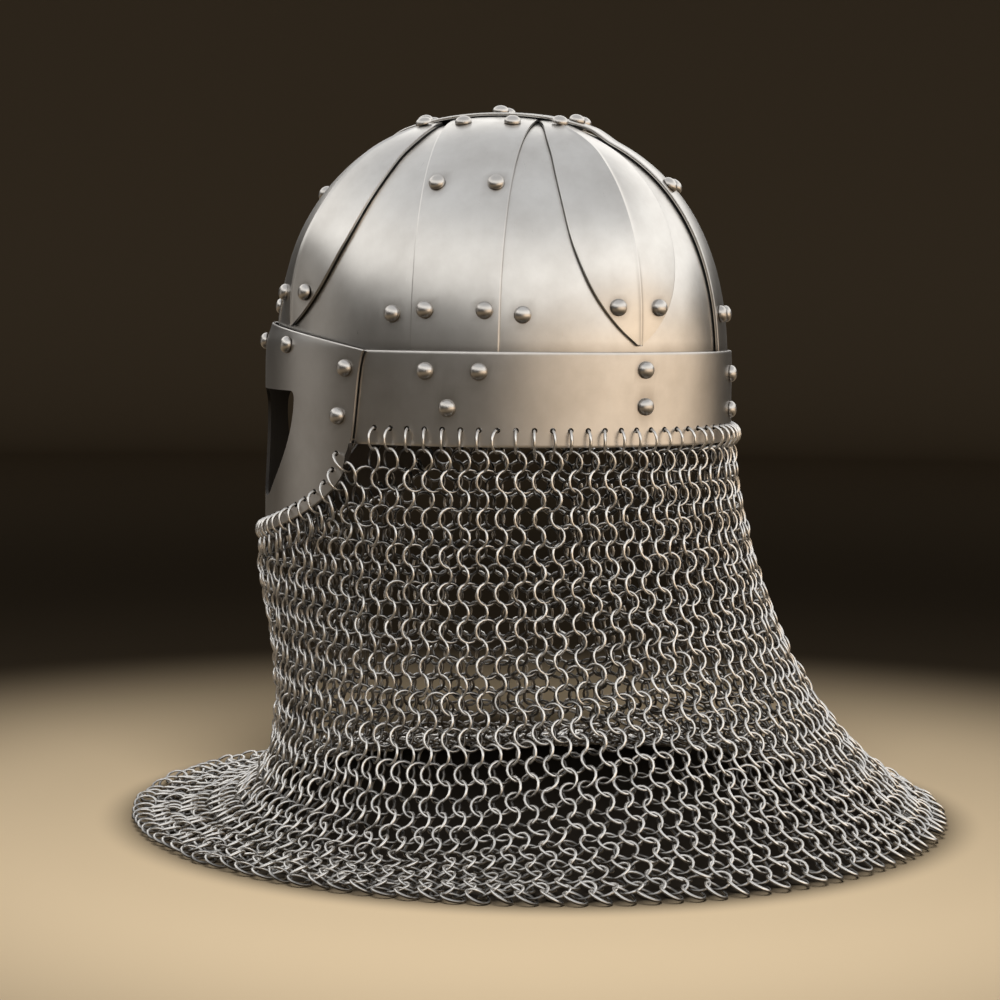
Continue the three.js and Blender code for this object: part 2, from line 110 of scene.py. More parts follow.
# Strength and reach of the painted contact shade on the plates at the brow band's top edge
brow_contact_shade = 1.3
brow_shade_reach = 0.0026
dirt_and_shade_strength = 0.35


def reach_towards(y):
    return back_reach if y > 0 else front_reach


def plan_scale(height, stand=0.0):
    rise = max(0.0, (height - spring_height) / (crown_height + stand - spring_height))
    return (1 - rise ** rise_power) ** (1 / plan_power)


def dome_height(scale, stand):
    rise = max(0.0, 1 - min(1.0, scale) ** plan_power) ** (1 / rise_power)
    return spring_height + (crown_height + stand - spring_height) * rise


def scale_at_lift(lift):
    return max(0.0, math.cos(math.radians(lift))) ** (2 / plan_power)


def lift_at_scale(scale):
    return math.degrees(math.acos(scale ** (plan_power / 2)))


def dome_point(bearing, scale, stand):
    turn = math.radians(bearing)
    x = (half_width + stand) * scale * math.cos(turn)
    y = (reach_towards(math.sin(turn)) + stand) * scale * math.sin(turn)
    return Vector((x, y, dome_height(scale, stand)))


def plan_point(x, y, stand):
    scale = math.hypot(x / (half_width + stand), y / (reach_towards(y) + stand))
    return Vector((x, y, dome_height(scale, stand)))


def side_point(y, height, stand, side):
    across = (y / (reach_towards(y) + stand)) ** 2
    x = (half_width + stand) * math.sqrt(plan_scale(height, stand) ** 2 - across)
    return Vector((side * x, y, height))


def dome_normal(point):
    reach = reach_towards(point.y)
    scale = math.hypot(point.x / half_width, point.y / reach)
    steep = plan_power * scale ** (plan_power - 2)
    rise = max(0.0, (point.z - spring_height) / (crown_height - spring_height))
    upward = rise_power * rise ** (rise_power - 1) / (crown_height - spring_height)
    return Vector((steep * point.x / half_width ** 2, steep * point.y / reach ** 2, upward)).normalized()


def mix(start, end, share):
    return start + (end - start) * share


def crowd(share):
    """Draws grid lines towards both ends, so that smooth shading turns only close to an edge."""
    return share - edge_crowding * math.sin(2 * math.pi * share) / (2 * math.pi)


def bend_sheet(name, columns, rows, place, closed=False):
    """A grid laid on the outer face that place(across, along) gives, with its faces turned outward."""
    bpy.ops.object.select_all(action="DESELECT")
    bpy.ops.mesh.primitive_grid_add(x_subdivisions=columns, y_subdivisions=rows, size=2)
    sheet = bpy.context.object
    sheet.name = name
    for vertex in sheet.data.vertices:
        vertex.co = place((vertex.co.x + 1) / 2, (vertex.co.y + 1) / 2)
    bpy.ops.object.mode_set(mode="EDIT")
    bpy.ops.mesh.select_all(action="SELECT")
    if closed:
        bpy.ops.mesh.remove_doubles(threshold=weld_distance)
    bpy.ops.mesh.normals_make_consistent(inside=False)
    bpy.ops.object.mode_set(mode="OBJECT")
    sheet.data.update()
    face = sheet.data.polygons[len(sheet.data.polygons) // 2]
    if face.normal.dot(dome_normal(face.center)) < 0:
        bpy.ops.object.mode_set(mode="EDIT")
        bpy.ops.mesh.flip_normals()
        bpy.ops.object.mode_set(mode="OBJECT")
    return sheet


def work(piece, kind, **settings):
    """Adds a modifier with these settings and applies it."""
    bpy.ops.object.select_all(action="DESELECT")
    piece.select_set(True)
    bpy.context.view_layer.objects.active = piece
    modifier = piece.modifiers.new(kind.lower(), kind)
    for setting, value in settings.items():
        setattr(modifier, setting, value)
    bpy.ops.object.modifier_apply(modifier=modifier.name)


def thicken(sheet, material):
    """Gives the sheet its gauge, with the near-black inside steel on its inner face: unpolished steel
    painted dark as shade.
    """
    sheet.data.materials.append(material)
    sheet.data.materials.append(shaded_inside_steel)
    work(sheet, "SOLIDIFY", thickness=gauge, offset=-1.0, material_offset=1, material_offset_rim=0)


def break_edges(sheet, width=edge_round):
    """Rounds the sheet's cut edges over, as a file does."""
    limit = {"limit_method": "ANGLE", "angle_limit": math.radians(edge_angle), "use_clamp_overlap": False}
    work(sheet, "BEVEL", width=width, segments=2, **limit)


def smooth(piece):
    bpy.ops.object.select_all(action="DESELECT")
    piece.select_set(True)
    bpy.context.view_layer.objects.active = piece
    bpy.ops.object.shade_smooth_by_angle(angle=math.radians(smooth_angle))


def mark_dirt_and_shade(sheet, rivets, brow_shade=0.0):
    """Writes how dark each point is painted: dirt and painted contact shade close round the rivets, and
    painted contact shade in the corner above the brow band.
    """
    heads = kdtree.KDTree(len(rivets))
    for index, spot in enumerate(rivets):
        heads.insert(spot, index)
    heads.balance()
    values = []
    for vertex in sheet.data.vertices:
        clear = max(0.0, heads.find(vertex.co)[2] - rivet_radius)
        # Dirt and painted contact shade close round each rivet head
        dirt_and_shade_amount = math.exp(-((clear / rivet_dirt_and_shade_reach) ** 2))
        above_brow = max(0.0, vertex.co.z - brow_height)
        # Painted contact shade on the plate at and just above the brow band's top edge
        values.append(dirt_and_shade_amount + brow_shade * math.exp(-((above_brow / brow_shade_reach) ** 2)))
    layer = sheet.data.attributes.new("dirt_and_shade", "FLOAT", "POINT")
    layer.data.foreach_set("value", values)


def steel(name, colour, rough, grain, shade_and_dirt_colour=dirt_and_shade_colour):
    """Satin steel: cloudy gloss, grain along the sheet, soft hammer waves, and dirt and painted shade where
    it is marked.
    """
    material = bpy.data.materials.new(name)
    material.use_nodes = True
    nodes = material.node_tree.nodes
    links = material.node_tree.links
    shader = nodes["Principled BSDF"]
    shader.inputs["Metallic"].default_value = 1.0
    place = nodes.new("ShaderNodeTexCoord")

    cloud = nodes.new("ShaderNodeTexNoise")
    cloud.inputs["Scale"].default_value = 38.0
    cloud.inputs["Detail"].default_value = 5.0
    cloud.inputs["Roughness"].default_value = 0.62
    links.new(place.outputs["Object"], cloud.inputs["Vector"])

    stretch = nodes.new("ShaderNodeMapping")
    stretch.inputs["Scale"].default_value = grain
    links.new(place.outputs["UV"], stretch.inputs["Vector"])
    lines = nodes.new("ShaderNodeTexNoise")
    lines.inputs["Scale"].default_value = 1.0
    lines.inputs["Detail"].default_value = 6.0
    lines.inputs["Roughness"].default_value = 0.7
    links.new(stretch.outputs["Vector"], lines.inputs["Vector"])

    tone = nodes.new("ShaderNodeMapRange")
    tone.inputs["From Min"].default_value = 0.3
    tone.inputs["From Max"].default_value = 0.75
    tone.inputs["To Min"].default_value = 0.0
    tone.inputs["To Max"].default_value = 0.32
    links.new(cloud.outputs["Fac"], tone.inputs["Value"])
    # The marked amount paints dirt and painted contact shade into the colour, on top of the cloudy tone
    dirt_and_shade_amount = nodes.new("ShaderNodeAttribute")
    dirt_and_shade_amount.attribute_name = "dirt_and_shade"
    dirt_and_shade_mix = nodes.new("ShaderNodeMath")
    dirt_and_shade_mix.operation = "MULTIPLY_ADD"
    dirt_and_shade_mix.inputs[1].default_value = dirt_and_shade_strength
    links.new(dirt_and_shade_amount.outputs["Fac"], dirt_and_shade_mix.inputs[0])
    links.new(tone.outputs["Result"], dirt_and_shade_mix.inputs[2])
    colours = nodes.new("ShaderNodeMix")
    colours.data_type = "RGBA"
    colours.inputs["A"].default_value = (*colour, 1.0)
    colours.inputs["B"].default_value = (*shade_and_dirt_colour, 1.0)
    links.new(dirt_and_shade_mix.outputs["Value"], colours.inputs["Factor"])
    links.new(colours.outputs["Result"], shader.inputs["Base Color"])

    gloss = nodes.new("ShaderNodeMapRange")
    gloss.inputs["From Min"].default_value = 0.3
    gloss.inputs["From Max"].default_value = 0.75
    gloss.inputs["To Min"].default_value = rough - 0.03
    gloss.inputs["To Max"].default_value = rough + 0.04
    links.new(lines.outputs["Fac"], gloss.inputs["Value"])
    links.new(gloss.outputs["Result"], shader.inputs["Roughness"])

    wave = nodes.new("ShaderNodeTexNoise")
    wave.inputs["Scale"].default_value = 26.0
    wave.inputs["Detail"].default_value = 1.0
    links.new(place.outputs["Object"], wave.inputs["Vector"])
    hammer = nodes.new("ShaderNodeBump")
    hammer.inputs["Strength"].default_value = 0.35
    hammer.inputs["Distance"].default_value = 0.0012
    links.new(wave.outputs["Fac"], hammer.inputs["Height"])
    scratch = nodes.new("ShaderNodeBump")
    scratch.inputs["Strength"].default_value = 0.035
    scratch.inputs["Distance"].default_value = 0.0003
    links.new(lines.outputs["Fac"], scratch.inputs["Height"])
    links.new(hammer.outputs["Normal"], scratch.inputs["Normal"])
    links.new(scratch.outputs["Normal"], shader.inputs["Normal"])
    return material


plate_steel = steel("plate_steel", plate_colour, rough=0.3, grain=(260.0, 7.0, 1.0))
shaded_inside_steel = steel(
    "shaded_inside_steel", inside_shaded_colour, rough=0.6, grain=(60.0, 7.0, 1.0), shade_and_dirt_colour=inside_dirt_and_shade_colour
)
rivet_steel = steel("rivet_steel", rivet_colour, rough=0.3, grain=(30.0, 30.0, 1.0))

bpy.ops.object.select_all(action="DESELECT")
bpy.ops.mesh.primitive_uv_sphere_add(segments=20, ring_count=14, radius=rivet_radius)
rivet_model = bpy.context.object
bpy.ops.object.mode_set(mode="EDIT")
bpy.ops.mesh.select_all(action="SELECT")
bpy.ops.mesh.bisect(plane_co=(0, 0, 0), plane_no=(0, 0, 1), clear_inner=True)
bpy.ops.mesh.select_all(action="SELECT")
bpy.ops.transform.resize(value=(1, 1, rivet_rise / rivet_radius))
bpy.ops.mesh.select_all(action="DESELECT")
bpy.ops.mesh.select_mode(type="EDGE")
bpy.ops.mesh.select_non_manifold()
bpy.ops.mesh.extrude_region_move(TRANSFORM_OT_translate={"value": (0, 0, -rivet_sink)})
bpy.ops.mesh.edge_face_add()
bpy.ops.mesh.select_all(action="SELECT")
bpy.ops.mesh.normals_make_consistent(inside=False)
bpy.ops.object.mode_set(mode="OBJECT")
rivet_mesh = rivet_model.data
# Painted shade at the foot of each rivet head
foot_layer = rivet_mesh.attributes.new("dirt_and_shade", "FLOAT", "POINT")
for vertex in rivet_mesh.vertices:
    foot_layer.data[vertex.index].value = rivet_foot_shade if vertex.co.z < rivet_sink else 0.0
bpy.data.objects.remove(rivet_model)


def set_rivets(name, spots):
    """One head at each spot, square to the dome, joined as one piece."""
    bpy.ops.object.select_all(action="DESELECT")
    for spot in spots:
        head = bpy.data.objects.new(name, rivet_mesh.copy())
        turn = dome_normal(spot).to_track_quat("Z", "Y").to_matrix().to_4x4()
        head.data.transform(Matrix.Translation(spot) @ turn)
        bpy.context.collection.objects.link(head)
        head.select_set(True)
        bpy.context.view_layer.objects.active = head
    bpy.ops.object.join()
    heads = bpy.context.object
    heads.name = name
    smooth(heads)
    heads.data.materials.append(rivet_steel)
    return heads


def fit(piece):
    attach(piece, "root")


skull_rivets = []
for end, end_name in ((-1, "front"), (1, "back")):
    for side, side_name in ((1, "left"), (-1, "right")):
        node = f"skull_plate_{end_name}_{side_name}"
        low_lift = lift_at_scale(plan_scale(skull_foot))
        high_lift = lift_at_scale(skull_eye)

        def skull_place(across, along):
            scale = scale_at_lift(mix(low_lift, high_lift, crowd(along)))
            side_seam = math.degrees(math.asin(skull_seam / (back_reach * scale)))
            crest_seam = math.degrees(math.asin(skull_seam / (half_width * scale)))
            point = dome_point(end * mix(side_seam, 90 - crest_seam, crowd(across)), scale, 0.0)
            return Vector((side * point.x, point.y, point.z))

        rivet = side_point(end * skull_rivet_offset, skull_rivet_height, 0.0, side)
        skull_rivets.append(rivet)
        plate = bend_sheet(f"{node}_sheet", columns=56, rows=48, place=skull_place)
        thicken(plate, plate_steel)
        break_edges(plate)
        smooth(plate)
        mark_dirt_and_shade(plate, [rivet], brow_contact_shade)
        fit(plate)
        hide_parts(node)
heads = set_rivets("skull_rivets", skull_rivets)
fit(heads)

# Side bands
# A broad strap up each side, from behind the brow band to under the crest, over a seam of the skull.
# Pairs of rivets close it at the foot, half way up and near the crown.
overlay_stand = play + gauge
strap_foot = 0.032
side_band_width = 0.044
side_band_top = 0.005
side_band_rivet_offset = 0.0146
side_band_rivet_heights = (0.065, 0.126)
crown_rivet_reach = 0.034
crown_rivet_gather = 0.86
for side, side_name in ((1, "left"), (-1, "right")):
    node = f"side_band_{side_name}"
    low_lift = lift_at_scale(plan_scale(strap_foot))
    high_lift = lift_at_scale(side_band_top / half_width)

    def side_band_place(across, along):
        y = mix(-side_band_width / 2, side_band_width / 2, crowd(across))
        widest = math.sqrt(1 - (y / (reach_towards(y) + overlay_stand)) ** 2)
        x = (half_width + overlay_stand) * widest * scale_at_lift(mix(low_lift, high_lift, crowd(along)))
        point = plan_point(x, y, overlay_stand)
        return Vector((side * x, y, point.z))

    rivets = []
    for y in (-side_band_rivet_offset, side_band_rivet_offset):
        for height in side_band_rivet_heights:
            rivets.append(side_point(y, height, overlay_stand, side))
        rivets.append(plan_point(side * crown_rivet_reach, y * crown_rivet_gather, overlay_stand))
    strap = bend_sheet(f"{node}_sheet", columns=15, rows=64, place=side_band_place)
    thicken(strap, plate_steel)
    break_edges(strap)
    smooth(strap)
    mark_dirt_and_shade(strap, rivets, brow_contact_shade)
    fit(strap)
    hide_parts(node)
    heads = set_rivets(f"{node}_rivets", rivets)
    fit(heads)

# Petals
# Leaf-shaped plates with a soft keel, laid over the four skull plates with their points down.
# Two rivets hold each one near its point and a third near the crown, where it goes under the crest.
petal_keel = 0.004
ridge_rise = 0.0004
ridge_half = 0.0009
petal_edge_round = 0.0003
petal_point_crowding = 1.25
petal_rivet_across = 0.62
petal_crown_lift = 71.0
millimetre = 0.001
front_petal_rows = [
    # lift, bearing of the middle, half width in mm, keel share
    (8.2, 53.5, 0.8, 0.0),
    (10.2, 53.5, 10.0, 0.2),
    (14.5, 53.3, 20.6, 0.55),
    (23.6, 52.0, 28.2, 1.0),
    (34.8, 50.2, 28.6, 1.0),
    (51.7, 48.8, 22.0, 0.9),
    (70.2, 53.0, 9.5, 0.25),
    (76.0, 64.7, 5.6, 0.0),
]
back_petal_rows = [
    (5.4, 46.8, 0.8, 0.0),
    (8.1, 46.8, 10.0, 0.2),
    (13.5, 46.8, 20.6, 0.55),
    (23.6, 46.8, 28.2, 1.0),
    (34.8, 47.0, 28.6, 1.0),
    (51.7, 47.6, 22.0, 0.9),
    (70.2, 51.0, 9.5, 0.25),
    (76.0, 60.0, 8.5, 0.0),
]
petals = [
    # node, end, side, outline, height of the lower rivets
    ("petal_front_left", -1, 1, front_petal_rows, 0.072),
    ("petal_front_right", -1, -1, front_petal_rows, 0.072),
    ("petal_back_left", 1, 1, back_petal_rows, 0.066),
    ("petal_back_right", 1, -1, back_petal_rows, 0.066),
]


def read_rows(rows, at, flat_ends=False):
    """Values of a table at one key, by a smooth curve through its rows."""
    last = len(rows) - 1
    step = 0
    while step < last - 1 and at > rows[step + 1][0]:
        step += 1
    here = rows[step]
    after = rows[step + 1]
    span = after[0] - here[0]
    share = (at - here[0]) / span
    before = rows[step - 1] if step > 0 else after
    beyond = rows[step + 2] if step + 2 <= last else here
    before_gap = here[0] - before[0] if step > 0 else (span if flat_ends else -span)
    beyond_gap = beyond[0] - after[0] if step + 2 <= last else (span if flat_ends else -span)
    w_before = 0.5 * span / before_gap
    w_beyond = 0.5 * span / beyond_gap
    square = share * share
    cube = square * share
    f_before = -w_before * cube + 2 * w_before * square - w_before * share
    f_here = (1 + w_before) * cube + (-1.5 - 2 * w_before) * square + (-0.5 + w_before) * share + 1
    f_after = (-1 - w_beyond) * cube + (1.5 + w_beyond) * square + 0.5 * share
    f_beyond = w_beyond * cube - w_beyond * square
    return [
        f_before * before[c] + f_here * here[c] + f_after * after[c] + f_beyond * beyond[c]
        for c in range(1, len(here))
    ]


def petal_point(end, side, rows, across, lift):
    middle_bearing, half, keel = read_rows(rows, lift)
    scale = scale_at_lift(lift)
    stand = overlay_stand + petal_keel * keel * (1 - abs(across))
    stand += ridge_rise * math.exp(-((across * half * millimetre / ridge_half) ** 2))
    middle = dome_point(end * middle_bearing, scale, 0.0)
    half_angle = math.degrees(half * millimetre / math.hypot(middle.x, middle.y))
    point = dome_point(end * (middle_bearing + across * half_angle), scale, stand)
    return Vector((side * point.x, point.y, point.z))


for node, end, side, rows, rivet_height in petals:

    def petal_place(across, along):
        lift = mix(rows[0][0], rows[-1][0], along ** petal_point_crowding)
        turned = 2 * across - 1
        return petal_point(end, side, rows, math.copysign(crowd(abs(turned)), turned), lift)

    low_lift = lift_at_scale(plan_scale(rivet_height))
    rivets = [
        petal_point(end, side, rows, -petal_rivet_across, low_lift),
        petal_point(end, side, rows, petal_rivet_across, low_lift),
        petal_point(end, side, rows, 0.0, petal_crown_lift),
    ]
    leaf = bend_sheet(f"{node}_sheet", columns=36, rows=76, place=petal_place)
    thicken(leaf, plate_steel)
    break_edges(leaf, petal_edge_round)
    smooth(leaf)
    mark_dirt_and_shade(leaf, rivets, brow_contact_shade)
    fit(leaf)
    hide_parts(node)
    heads = set_rivets(f"{node}_rivets", rivets)
    fit(heads)

# Crest band
# One long strap from the brow over the crown to the nape.
# It lies on the skull plates at both ends and climbs over the petals and the side bands at the crown.
crest_stand = overlay_stand + play + gauge
crest_low_scale = 0.52
crest_high_scale = 0.4
crest_width = 0.032
crest_low = lift_at_scale(plan_scale(strap_foot))
crest_rivet_offset = 0.008
crest_crown_rivets = (-0.039, 0.0005, 0.04)
crest_end_rivets = [
    # end and height
    (-1, 0.066),
    (-1, 0.124),
    (1, 0.064),
    (1, 0.128),
]


def ease(share):
    held = min(1.0, max(0.0, share))
    return held * held * (3 - 2 * held)


def crest_place(across, along):
    x = mix(-crest_width / 2, crest_width / 2, crowd(across))
    swing = math.cos(math.radians(mix(crest_low, 180 - crest_low, along)))
    end = -1 if swing > 0 else 1
    scale = abs(swing) ** (2 / plan_power)
    climb = 1 - ease((scale - crest_high_scale) / (crest_low_scale - crest_high_scale))
    stand = mix(overlay_stand, crest_stand, climb)
    widest = math.sqrt(1 - (x / (half_width + stand)) ** 2)
    return plan_point(x, end * (reach_towards(end) + stand) * widest * scale, stand)


crest_rivets = []
for x in (-crest_rivet_offset, crest_rivet_offset):
    for end, height in crest_end_rivets:
        across = (x / (half_width + overlay_stand)) ** 2
        reach = reach_towards(end) + overlay_stand
        y = end * reach * math.sqrt(plan_scale(height, overlay_stand) ** 2 - across)
        crest_rivets.append(Vector((x, y, height)))
    for y in crest_crown_rivets:
        crest_rivets.append(plan_point(x, y, crest_stand))
crest = bend_sheet("crest_band_sheet", columns=11, rows=180, place=crest_place)
thicken(crest, plate_steel)
break_edges(crest)
smooth(crest)
mark_dirt_and_shade(crest, crest_rivets, brow_contact_shade)
fit(crest)
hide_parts("crest_band")
heads = set_rivets("crest_band_rivets", crest_rivets)
fit(heads)

# Brow band
# A hoop of sheet steel round the lower edge, riveted at the nape and over each plate.
# Its front is cut up to clear the eyes, and a row of punched holes along its foot carries the mail.
brow_stand = overlay_stand + play + gauge
brow_face_height = 0.027
brow_face_half_angle = 52.0
nape_rivet_heights = (0.034, 0.016)
brow_rivet_spots = [
    # bearing from the side and height
    (-6.3, 0.036),
    (6.3, 0.036),
    (-1.0, 0.0186),
    (47.5, 0.037),
    (47.5, 0.0194),
]
brow_hole_height = 0.0082
brow_hole_count = 52
holes_round = 84
hole_radius = 0.0014
punch_length = 6 * gauge
band_colour = (0.52, 0.505, 0.485)


def wall_point(bearing, height, stand):
    turn = math.radians(bearing)
    scale = plan_scale(height, stand)
    x = (half_width + stand) * scale * math.cos(turn)
    y = (reach_towards(math.sin(turn)) + stand) * scale * math.sin(turn)
    return Vector((x, y, height))


def brow_place(across, along):
    bearing = -90 + 360 * across
    facing = abs((bearing + 270) % 360 - 180)
    foot = brow_face_height if facing < brow_face_half_angle else 0.0
    return wall_point(bearing, mix(foot, brow_height, crowd(along)), brow_stand)


def cut(sheet, cutter):
    """Takes the cutter out of the sheet and leaves the cut edges in the near-black inside steel, painted
    dark as shade.
    """
    for material in sheet.data.materials:
        cutter.data.materials.append(material)
    for polygon in cutter.data.polygons:
        polygon.material_index = 1
    work(sheet, "BOOLEAN", operation="DIFFERENCE", solver="EXACT", object=cutter)
    bpy.data.objects.remove(cutter)


def punch(sheet, spots):
    """Cuts a round hole square through the sheet at each spot."""
    bpy.ops.object.select_all(action="DESELECT")
    for spot in spots:
        turn = dome_normal(Vector((spot.x, spot.y, 0))).to_track_quat("Z", "Y").to_matrix().to_4x4()
        bpy.ops.mesh.primitive_cylinder_add(vertices=14, radius=hole_radius, depth=punch_length)
        pin = bpy.context.object
        pin.data.transform(Matrix.Translation(spot) @ turn)
    for thing in bpy.data.objects:
        thing.select_set(thing.name.startswith("Cylinder"))
    bpy.ops.object.join()
    cut(sheet, bpy.context.object)


brow_rivets = [wall_point(90, height, brow_stand) for height in nape_rivet_heights]
for bearing, height in brow_rivet_spots:
    for round_to in (bearing, 180 - bearing):
        brow_rivets.append(wall_point(round_to, height, brow_stand))
brow_holes = []
for hole in range(brow_hole_count):
    bearing = 90 + (hole - (brow_hole_count - 1) / 2) * 360 / holes_round
    brow_holes.append((bearing, wall_point(bearing, brow_hole_height, brow_stand)))

band_steel = steel("band_steel", band_colour, rough=0.33, grain=(900.0, 5.0, 1.0))
brow = bend_sheet("brow_band_sheet", columns=336, rows=10, place=brow_place, closed=True)
thicken(brow, band_steel)
break_edges(brow)
punch(brow, [spot for bearing, spot in brow_holes])
smooth(brow)
mark_dirt_and_shade(brow, brow_rivets)
fit(brow)
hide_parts("brow_band")
heads = set_rivets("brow_band_rivets", brow_rivets)
fit(heads)

# Visor
# A curved eye guard of sheet steel, riveted over the front of the brow band, with an opening for each eye.
# Its lower edge is an arch under the cheeks with a row of punched holes for the mail.
visor_play = 0.0007
visor_stand = brow_stand + visor_play + gauge
visor_tuck = 0.0023
visor_tuck_start = 0.0005
visor_crowding = 0.65
visor_half_angle = 63.7
visor_slant = 4.7
visor_corner = -0.005
visor_drop = 0.047
visor_top = 0.058
visor_top_fall = 0.0125
visor_top_curve = 2.3
visor_radius = 0.112
visor_hole_inset = 0.0065
visor_hole_count = 32
visor_rivet_spots = [
    # bearing and height
    (-27.0, 0.0366),
    (-29.2, 0.0133),
    (-49.8, 0.047),
    (-78.5, 0.048),
]
eye_curves = [
    # Bezier runs of the left eye's edge, as bearing in degrees and height in mm
    ((-48, 24.3), (-46.6, 24.3), (-46, 22.9), (-46, 20)),
    ((-46, 20), (-46.6, 2), (-52.5, -14), (-62.4, -28)),
    ((-62.4, -28), (-67, -33), (-74, -31), (-78, -20)),
    ((-78, -20), (-81, -10), (-83, 8), (-82, 16)),
    ((-82, 16), (-81.5, 20), (-79, 24.2), (-73, 24.3)),
]
eye_steps = 14
eye_cut_depths = (-0.014, 0.026)


def visor_place(across, along):
    swing = mix(-90, 90, across)
    share = mix(swing / 90, math.sin(math.radians(swing)), visor_crowding)
    foot = visor_corner - visor_drop * math.sqrt(max(0.0, 1 - share * share))
    brim = visor_top - visor_top_fall * abs(share) ** visor_top_curve
    bearing = -90 + (visor_half_angle + visor_slant * along) * share
    height = mix(foot, brim, crowd(along))
    over_brow = ease((height - brow_height - visor_tuck_start) / (visor_top - brow_height))
    return wall_point(bearing, height, visor_stand - visor_tuck * over_brow)


def bezier(a, b, c, d, share):
    rest = 1 - share
    return [
        rest ** 3 * p + 3 * rest ** 2 * share * q + 3 * rest * share ** 2 * r + share ** 3 * s
        for p, q, r, s in zip(a, b, c, d)
    ]


eye_edge = []
for run in eye_curves:
    for step in range(eye_steps):
        eye_edge.append(bezier(*run, step / eye_steps))
eye_edge.append(list(eye_curves[-1][-1]))


def cut_eye(sheet, side):
    count = len(eye_edge)
    points = []
    for depth in eye_cut_depths:
        for bearing, height in eye_edge:
            point = wall_point(bearing, height * millimetre, visor_stand + depth)
            points.append((side * point.x, point.y, point.z))
    faces = [tuple(range(count)), tuple(range(2 * count - 1, count - 1, -1))]
    for corner in range(count):
        after = (corner + 1) % count
        faces.append((after, corner, corner + count, after + count))
    mesh = bpy.data.meshes.new("eye_cut")
    mesh.from_pydata(points, [], faces)
    cutter = bpy.data.objects.new("eye_cut", mesh)
    bpy.context.collection.objects.link(cutter)
    bpy.ops.object.select_all(action="DESELECT")
    cutter.select_set(True)
    bpy.context.view_layer.objects.active = cutter
    bpy.ops.object.mode_set(mode="EDIT")
    bpy.ops.mesh.select_all(action="SELECT")
    bpy.ops.mesh.quads_convert_to_tris()
    bpy.ops.mesh.normals_make_consistent(inside=False)
    bpy.ops.object.mode_set(mode="OBJECT")
    cut(sheet, cutter)


visor_rivets = []
for bearing, height in visor_rivet_spots:
    for round_to in (bearing, -180 - bearing):
        visor_rivets.append(wall_point(round_to, height, visor_stand))

# The holes keep an even spacing along an ellipse inside the lower edge
arc_half = math.radians(visor_half_angle) * visor_radius - visor_hole_inset
arc_drop = visor_drop - visor_hole_inset
arc_samples = 721
arc_turns = np.linspace(np.pi, 2 * np.pi, arc_samples)
arc_spots = np.stack([arc_half * np.cos(arc_turns), visor_corner + arc_drop * np.sin(arc_turns)], axis=1)
arc_run = np.concatenate([[0.0], np.cumsum(np.linalg.norm(np.diff(arc_spots, axis=0), axis=1))])
visor_holes = []
for run in np.linspace(0.0, arc_run[-1], visor_hole_count):
    turn = np.interp(run, arc_run, arc_turns)
    bearing = -90 + math.degrees(arc_half * math.cos(turn) / visor_radius)
    height = visor_corner + arc_drop * math.sin(turn)
    visor_holes.append((bearing, turn, wall_point(bearing, height, visor_stand)))

visor = bend_sheet("visor_sheet", columns=140, rows=36, place=visor_place)
thicken(visor, band_steel)
break_edges(visor)
cut_eye(visor, 1)
cut_eye(visor, -1)
punch(visor, [spot for bearing, turn, spot in visor_holes])
smooth(visor)
mark_dirt_and_shade(visor, visor_rivets)
fit(visor)
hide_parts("visor")
heads = set_rivets("visor_rivets", visor_rivets)
fit(heads)

# Mail curtain
# Butted rings of round steel wire, each through four others, in rows that lean left and right by turns.
# It hangs straight at the sides, spreads on the floor, and gains rings towards the hem.
ring_radius = 0.0055
wire_radius = 0.00078
ring_segments = 16
wire_sides = 4
mail_rows = 30
mail_first = 0.007
mail_last = 0.005
mail_wall = 0.0025
hem_radius = 0.2085
hem_setback = 0.022
hem_rings = 120
floor_height = cad_box[0][2]
mail_falls = [
    # bearing from the side, lean and height of the upper bend, lean and height of the lower bend, in mm
    (-90, 34, -72, -80, -195),
    (-45, -2, -125, -26, -197),
    (0, 2, -165, 16, -191),
    (45, 2, -85, 20, -160),
    (90, 6, -60, 32, -150),
]
# The wire's lit and shaded colours: each ring is painted bright on its outward side and near-black on its
# inward side, as painted highlight and shade
wire_lit_colour = (0.70, 0.68, 0.65)
wire_shaded_colour = (0.022, 0.019, 0.016)
outer_light_contrast = 1.7
painted_light_middle = 0.22
wear_spread = 0.15
speck_strength = 0.3
chance = random.Random(11)


def fall_line(bearing):
    """The four bends of one line of the fall, from the rim to the hem."""
    turn = math.radians(bearing)
    side_bearing = math.degrees(math.asin(math.sin(turn)))
    upper_lean, upper_height, lower_lean, lower_height = read_rows(mail_falls, side_bearing, flat_ends=True)
    facing = max(0.0, -math.sin(turn))
    rim = wall_point(bearing, 0.0, mix(brow_stand, visor_stand, facing) - gauge / 2)
    hem_x = hem_radius * math.cos(turn)
    hem = Vector((hem_x, hem_setback + hem_radius * math.sin(turn), floor_height + mail_wall))
    away = Vector((hem.x - rim.x, hem.y - rim.y, 0)).normalized()
    upper = rim + away * upper_lean * millimetre
    upper.z = upper_height * millimetre
    lower = rim + away * lower_lean * millimetre
    lower.z = lower_height * millimetre
    return np.array([rim, upper, lower, hem])


fall_steps = 80
fall_shares = np.linspace(0.0, 1.0, fall_steps + 1)[:, None]
fall_blend = np.hstack([
    (1 - fall_shares) ** 3,
    3 * (1 - fall_shares) ** 2 * fall_shares,
    3 * (1 - fall_shares) * fall_shares ** 2,
    fall_shares ** 3,
])
fall_count = 720
fall_grid = np.array([fall_blend @ fall_line(360.0 * i / fall_count) for i in range(fall_count)])
fall_lengths = np.linalg.norm(np.diff(fall_grid, axis=1), axis=2)
fall_runs = np.concatenate([np.zeros((fall_count, 1)), np.cumsum(fall_lengths, axis=1)], axis=1)


